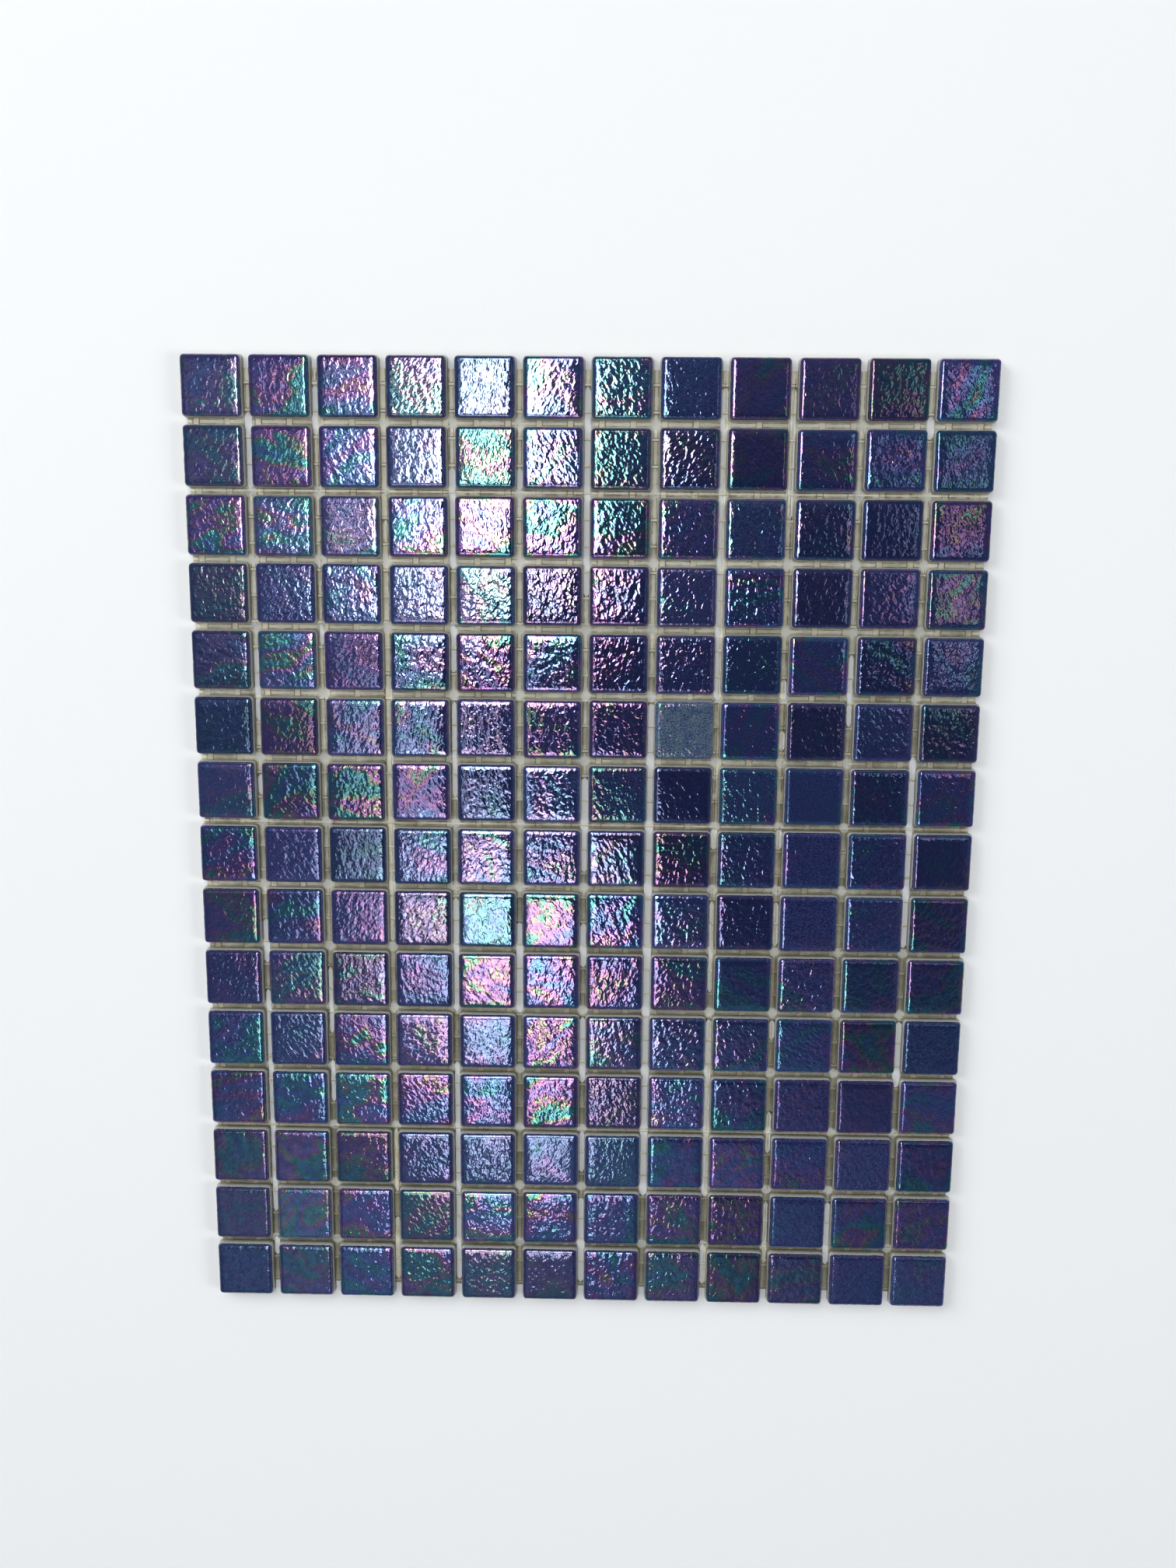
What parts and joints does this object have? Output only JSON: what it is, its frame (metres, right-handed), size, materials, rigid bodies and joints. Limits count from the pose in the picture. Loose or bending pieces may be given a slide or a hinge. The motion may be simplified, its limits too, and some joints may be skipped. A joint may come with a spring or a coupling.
{
  "type": "mosaic tile sheet",
  "caption": "Flat sheet of square iridescent blue glass mosaic tiles with pale glass sides, held face up by a dried glue film on a net.",
  "frame": {"origin": "centre of the sheet's outline, on the underside of the net", "axes": "+X along a row of tiles to the picture's right, +Y up the sheet to the picture's top row, +Z out of the tiles' glossy faces"},
  "size_m": [0.3134, 0.3922, 0.005],
  "materials": {
    "blue_glass": "gloss",
    "glass_yarn": "satin",
    "dried_glue": "satin"
  },
  "bodies": {
    "root": {"glue_film": "dried_glue", "net_warp": "glass_yarn", "net_weft": "glass_yarn", "tile_row_01": "blue_glass", "tile_row_02": "blue_glass", "tile_row_03": "blue_glass", "tile_row_04": "blue_glass", "tile_row_05": "blue_glass", "tile_row_06": "blue_glass", "tile_row_07": "blue_glass", "tile_row_08": "blue_glass", "tile_row_09": "blue_glass", "tile_row_10": "blue_glass", "tile_row_11": "blue_glass", "tile_row_12": "blue_glass", "tile_row_13": "blue_glass", "tile_row_14": "blue_glass", "tile_row_15": "blue_glass"}
  },
  "joints": []
}
